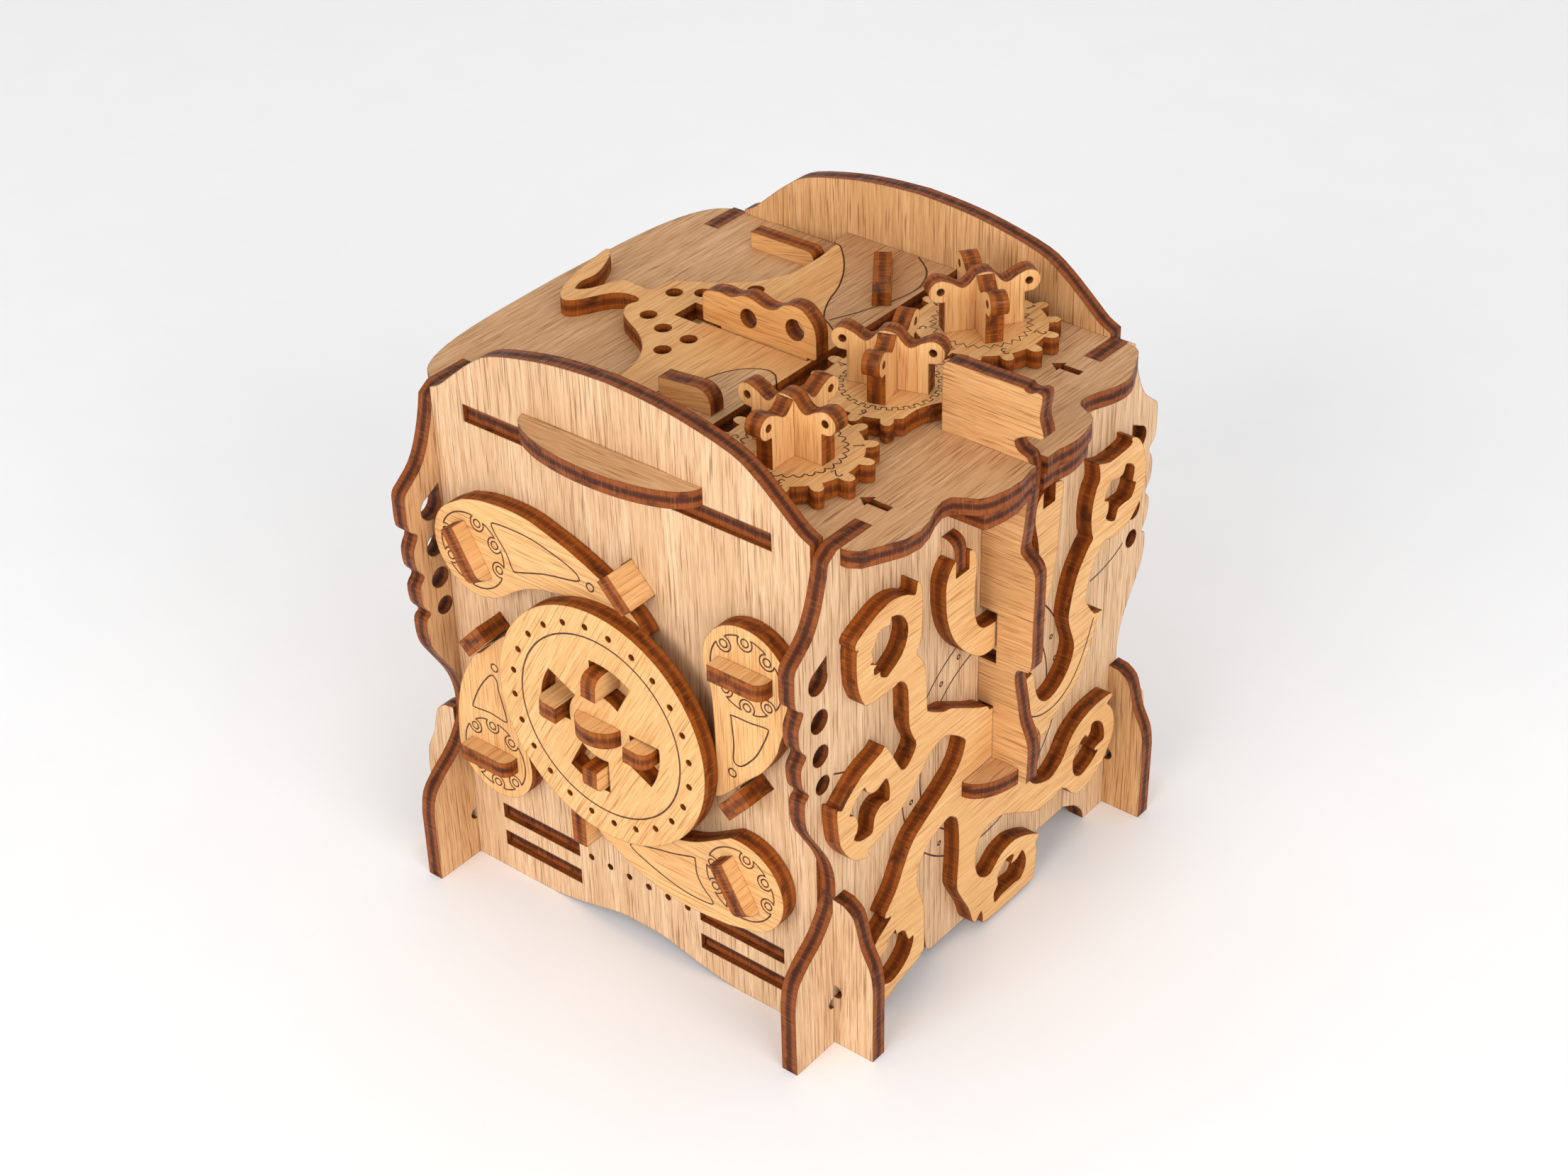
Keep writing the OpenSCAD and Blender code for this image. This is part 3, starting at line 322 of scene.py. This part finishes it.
def ribbon(points, width, closed):
    """Quads of a line of that width through 2-D points."""
    p = np.array(points, float)
    n = len(p)
    if closed:
        ahead, behind = np.roll(p, -1, 0), np.roll(p, 1, 0)
    else:
        ahead = np.vstack([p[1:], p[-1] * 2 - p[-2]])
        behind = np.vstack([p[0] * 2 - p[1], p[:-1]])
    d = ahead - behind
    d /= np.maximum(np.linalg.norm(d, axis=1, keepdims=True), 1e-12)
    side = np.stack([-d[:, 1], d[:, 0]], 1) * width / 2
    verts = np.vstack([p - side, p + side])
    last = n if closed else n - 1
    quads = [(i, (i + 1) % n, n + (i + 1) % n, n + i) for i in range(last)]
    return verts, quads


def engrave(name, node, lines, to_place, width=LINE):
    """One mesh of scorched lines on a face. Each line is (points in mm, closed)."""
    verts, faces = [], []
    for points, closed in lines:
        v, q = ribbon(np.array(points) * MM, width, closed)
        start = len(verts)
        verts += [to_place(a, b) for a, b in v]
        faces += [tuple(start + i for i in f) for f in q]
    mesh = bpy.data.meshes.new(name)
    mesh.from_pydata(verts, [], faces)
    mesh.update()
    obj = bpy.data.objects.new(name, mesh)
    bpy.context.scene.collection.objects.link(obj)
    mesh.materials.append(SCORCH)
    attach(obj, BODY_OF[node])


def polar(cx, cy, r, degrees):
    """Point at that angle on a circle."""
    a = math.radians(degrees)
    return cx + r * math.cos(a), cy + r * math.sin(a)


def circle(cx, cy, r, a0=0.0, a1=360.0, steps=48):
    """Line round a circle, or an arc of it."""
    closed = abs(a1 - a0) >= 360
    count = steps if closed else steps + 1
    return [polar(cx, cy, r, a0 + (a1 - a0) * i / steps) for i in range(count)], closed


def smooth(points, closed, n=5):
    """Catmull-Rom line through the points."""
    p = [Vector((a, b)) for a, b in points]
    out = []
    count = len(p)
    for i in range(count if closed else count - 1):
        if closed:
            a, b, c, d = p[i - 1], p[i], p[(i + 1) % count], p[(i + 2) % count]
        else:
            a, b, c, d = p[max(i - 1, 0)], p[i], p[i + 1], p[min(i + 2, count - 1)]
        for j in range(n):
            t = j / n
            q = 0.5 * (2 * b + (c - a) * t + (2 * a - 5 * b + 4 * c - d) * t * t
                       + (3 * b - a - 3 * c + d) * t ** 3)
            out.append((q.x, q.y))
    if not closed:
        out.append(tuple(p[-1]))
    return out, closed


def front_place(node):
    """Face towards -Y; the drawing's axes are X and Z of the box."""
    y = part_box(node)[0].y - PROUD
    return lambda a, b: (a + X_SHIFT, y, b)


def side_place(node):
    """Face towards +X; the drawing's axes are Y and Z."""
    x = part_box(node)[1].x + PROUD
    return lambda a, b: (x, a, b)


def top_place(node, shift=X_SHIFT):
    """Face towards +Z; the drawing's axes are X and Y, X moved by the shift."""
    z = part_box(node)[1].z + PROUD
    return lambda a, b: (a + shift, b, z)


# front disc
DIAL_Z = 64.9        # height of its axis, in mm
DIAL_RING_R = 22.3
engrave("dial_ring", "dial", [circle(0, DIAL_Z, DIAL_RING_R, steps=96)], front_place("dial"))

# arms: a ring with six eyelets round each finger bar, a rounded triangle and a dot on the tail.
# Each arm has its ring's middle, the angle of its bar, the triangle and the dot, from the disc's axis.
ARMS = {
    "arm_upper_left": (
        (-38.2, 27.3), -60.5,
        [(-31.5, 35.6), (-30, 37.1), (-20, 37.1), (-10, 34.6), (-7, 32.6), (-8.5, 31.4), (-17, 29.6),
         (-25, 26.9), (-26.5, 27.1), (-28, 30.6)], (-4, 31.6)),
    "arm_lower_left": (
        (-37.7, -27.3), 0,
        [(-36.8, -5.1), (-35, -5.6), (-34.5, -8.9), (-33, -14.9), (-33.5, -16.4), (-38, -15.9),
         (-42.8, -16.4), (-43.2, -15.4), (-40.5, -9.9)], (-35.2, -2.4)),
    "arm_lower_right": (
        (33.6, -28.8), -60.5,
        [(2.3, -33.6), (10, -37.1), (18, -38.9), (24.8, -38.7), (25.5, -37.4), (23, -34.9),
         (21.5, -31.9), (21.2, -28.4), (20.5, -27.9), (15, -29.7), (9, -31.2)], None),
    "arm_upper_right": (
        (37.4, 27.2), 0,
        [(33.3, 15.6), (38, 15.8), (42, 16.3), (42.7, 15.4), (40, 9.1), (37.5, 5.6), (35, 3.4),
         (33.3, 4.1), (33.5, 8.6), (33.1, 14.6)], (32.8, 0.7)),
}
RING_R, EYELET_R = 9.2, 7.9      # the ring, and the circle that the eyelets' middles are on
EYELETS = (45, 90, 135)          # their places on each side of the bar
ARM_LINE = 0.38 * MM
for arm, (middle, turn, triangle, dot) in ARMS.items():
    cx, cz = middle[0], middle[1] + DIAL_Z
    lines = []
    spots = sorted(turn + side + step for side in (0, 180) for step in EYELETS)
    for a, b in zip(spots, spots[1:] + [spots[0] + 360]):
        ex, ez = polar(cx, cz, EYELET_R, a)
        lines += [circle(cx, cz, RING_R, a + 11, b - 11, 12), circle(ex, ez, 0.95, steps=16),
                  circle(ex, ez, 1.9, a + 50, a + 310, 16)]
    lines.append(smooth([(x, z + DIAL_Z) for x, z in triangle], True))
    if dot:
        lines.append(circle(dot[0], dot[1] + DIAL_Z, 1.0, steps=16))
    engrave(arm + "_lines", arm, lines, front_place(arm), ARM_LINE)

# right panel: two rings with dots between them, and a sweep towards each upper corner
RINGS_Z, RINGS_R = 52, (30, 23.7)
DOTS, DOTS_R, DOT_R = 24, 27, 0.5
SWEEP = [(39.9, 69), (44, 69.4), (49, 70.6), (53, 72.4)]
side_lines = [circle(0, RINGS_Z, r, steps=96) for r in RINGS_R]
side_lines += [circle(*polar(0, RINGS_Z, DOTS_R, (k + 0.5) * 360 / DOTS), DOT_R, steps=10)
               for k in range(DOTS)]
side_lines += [smooth([(side * y, z) for y, z in SWEEP], False) for side in (1, -1)]
panel_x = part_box("kraken")[0].x + PROUD
engrave("right_panel_lines", "right_panel", side_lines, lambda a, b: (panel_x, a, b))
body_line = [(11.5, 50), (15.4, 48.1), (20.1, 47.4), (24.7, 48.4), (29, 51.3), (32.6, 56.3), (35.8, 63.1)]
engrave("kraken_line", "kraken", [smooth(body_line, False)], side_place("kraken"))
wing_line = [(0, 49.6), (6, 44.5), (8.8, 36), (6, 24), (2, 14.5)]
engrave("wing_back_line", "wing_back", [smooth(wing_line, False)], top_place("wing_back"))

# gears: a patterned ring and the digits 1 to 7, each one stroke in a unit square
DIGITS = {
    1: [(0.2, 0.75), (0.5, 1), (0.5, 0)],
    2: [(0.15, 0.8), (0.3, 0.97), (0.65, 0.97), (0.82, 0.75), (0.7, 0.5), (0.15, 0), (0.85, 0)],
    3: [(0.15, 0.88), (0.45, 1), (0.8, 0.8), (0.65, 0.55), (0.4, 0.52), (0.7, 0.48), (0.85, 0.25),
        (0.5, 0), (0.12, 0.14)],
    4: [(0.65, 0), (0.65, 1), (0.1, 0.3), (0.9, 0.3)],
    5: [(0.8, 1), (0.25, 1), (0.2, 0.55), (0.6, 0.6), (0.85, 0.3), (0.55, 0), (0.15, 0.12)],
    6: [(0.7, 1), (0.3, 0.6), (0.18, 0.25), (0.5, 0), (0.82, 0.25), (0.5, 0.52), (0.2, 0.3)],
    7: [(0.15, 1), (0.85, 1), (0.4, 0)],
}
# pattern of each gear's ring, the angle of its digit 1 and the way the digits run
GEARS = {"gear_front": ("scallop", 41.0, -1), "gear_middle": ("square", 24.0, 1),
         "gear_back": ("zigzag", 70.3, -1)}
REPEATS = 28                      # of the pattern round a ring
DIGIT_STEP = 51.43                # degrees
DIGIT_R, DIGIT_H, DIGIT_W = 11.9, 2.4, 1.7
GEAR_LINE = 0.34 * MM
# one repeat of each pattern, as (share of the repeat, radius)
PATTERNS = {
    "square": [(0.0, 9.9), (0.5, 9.9), (0.5, 10.9), (1.0, 10.9)],
    "zigzag": [(0.0, 9.7), (0.5, 11.1)],
    "scallop": [(s / 6, 10.0 + 1.1 * abs(math.sin(math.pi * s / 6))) for s in range(6)],
}


def pattern_ring(kind, cx, cy):
    step = 360 / REPEATS
    points = [polar(cx, cy, r, step * k + s * step) for k in range(REPEATS) for s, r in PATTERNS[kind]]
    return points, True


for gear, (kind, first, way) in GEARS.items():
    hub_lo, hub_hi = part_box(gear.replace("gear_", "gear_hub_"))
    cx, cy = (hub_lo.x + hub_hi.x) / 2 / MM, (hub_lo.y + hub_hi.y) / 2 / MM
    lines = [pattern_ring(kind, cx, cy)]
    for digit, strokes in DIGITS.items():
        out_x, out_y = polar(0, 0, 1, first + DIGIT_STEP * (digit - 1) * way)
        points = []
        for px, py in strokes:
            r, s = DIGIT_R + DIGIT_H * py, (px - 0.5) * DIGIT_W
            points.append((cx + out_x * r + out_y * s, cy + out_y * r - out_x * s))
        lines.append((points, False))
    engrave(gear + "_lines", gear, lines, top_place(gear, 0.0), GEAR_LINE)


# ---------------------------------------------------------------- floor, light, camera


# camera: direction from the box and roll in degrees, place in metres
AZIMUTH, ELEVATION, ROLL = (math.radians(v) for v in (39.730, 34.053, -1.563))
CAMERA_AT = (0.31717, -0.384777, 0.404320)
SENSOR_MM, FOCAL_MM = 36.0, 61.52
CLIP_NEAR, CLIP_FAR = 0.05, 50.0
TARGET = (0, 0, 0.06)
WHITE = (1.0, 1.0, 1.0)

FLOOR_HALF = 4.0      # half width of the paper, and its reach towards the camera
FLOOR_BACK = 1.6      # where it starts to curve up
FLOOR_CURVE = 0.8     # radius of the curve
FLOOR_TOP = 3.0
CURVE_STEPS = 16


def studio():
    """Sheet of pale paper that runs back along the view and curves up."""
    material, g, shader = new_material("studio_paper")
    fleck = g.noise(g.scaled(g.add("ShaderNodeTexCoord").outputs["Object"], 40.0), 3.0)
    g.put(shader.inputs["Base Color"], g.mix(fleck, (0.90, 0.895, 0.895, 1), (0.93, 0.925, 0.925, 1)))
    shader.inputs["Roughness"].default_value = 0.75
    profile = [(-FLOOR_HALF, 0.0)]
    for i in range(CURVE_STEPS + 1):
        a = math.pi / 2 * i / CURVE_STEPS
        profile.append((FLOOR_BACK + FLOOR_CURVE * math.sin(a), FLOOR_CURVE * (1 - math.cos(a))))
    profile.append((FLOOR_BACK + FLOOR_CURVE, FLOOR_TOP))
    sin, cos = math.sin(AZIMUTH), math.cos(AZIMUTH)
    verts = [(-d * sin + s * cos, d * cos + s * sin, z)
             for d, z in profile for s in (-FLOOR_HALF, FLOOR_HALF)]
    faces = [(2 * i, 2 * i + 1, 2 * i + 3, 2 * i + 2) for i in range(len(profile) - 1)]
    mesh = bpy.data.meshes.new("studio_floor")
    mesh.from_pydata(verts, [], faces)
    for p in mesh.polygons:
        p.use_smooth = True
    mesh.materials.append(material)
    floor = bpy.data.objects.new("studio_floor", mesh)
    bpy.context.scene.collection.objects.link(floor)


def area_light(name, place, size, watts):
    """Square white light at that place, turned towards the box."""
    data = bpy.data.lights.new(name, "AREA")
    data.shape = "SQUARE"
    data.size = size
    data.energy = watts
    data.color = WHITE
    lamp = bpy.data.objects.new(name, data)
    bpy.context.scene.collection.objects.link(lamp)
    lamp.location = place
    lamp.rotation_euler = (Vector(TARGET) - Vector(place)).to_track_quat("-Z", "Y").to_euler()


def sky(colour, strength):
    world = bpy.data.worlds.new("studio_world")
    world.use_nodes = True
    background = world.node_tree.nodes["Background"]
    background.inputs["Color"].default_value = colour
    background.inputs["Strength"].default_value = strength
    bpy.context.scene.world = world


def place_camera():
    data = bpy.data.cameras.new("camera")
    data.sensor_width = SENSOR_MM
    data.lens = FOCAL_MM
    data.clip_start = CLIP_NEAR
    data.clip_end = CLIP_FAR
    data.dof.use_dof = False
    camera = bpy.data.objects.new("camera", data)
    bpy.context.scene.collection.objects.link(camera)
    bpy.context.scene.camera = camera
    back = Vector((math.sin(AZIMUTH) * math.cos(ELEVATION), -math.cos(AZIMUTH) * math.cos(ELEVATION),
                   math.sin(ELEVATION)))
    right = Vector((math.cos(AZIMUTH), math.sin(AZIMUTH), 0))
    up = back.cross(right)
    rolled_right = right * math.cos(ROLL) + up * math.sin(ROLL)
    rolled_up = -right * math.sin(ROLL) + up * math.cos(ROLL)
    rows = list(zip(rolled_right, rolled_up, back, CAMERA_AT)) + [(0, 0, 0, 1)]
    camera.matrix_world = Matrix(rows)


studio()
sky((0.985, 0.992, 1.0, 1), 0.69)
area_light("key", (0.05, -1.45, 0.62), 1.0, 13.6)
area_light("fill", (1.35, -0.45, 0.6), 1.0, 10.6)
area_light("top", (-0.2, 0.3, 1.5), 1.2, 2.0)
bpy.context.scene.view_settings.view_transform = "Standard"
bpy.context.scene.view_settings.look = "None"
place_camera()

bpy.context.view_layer.update()
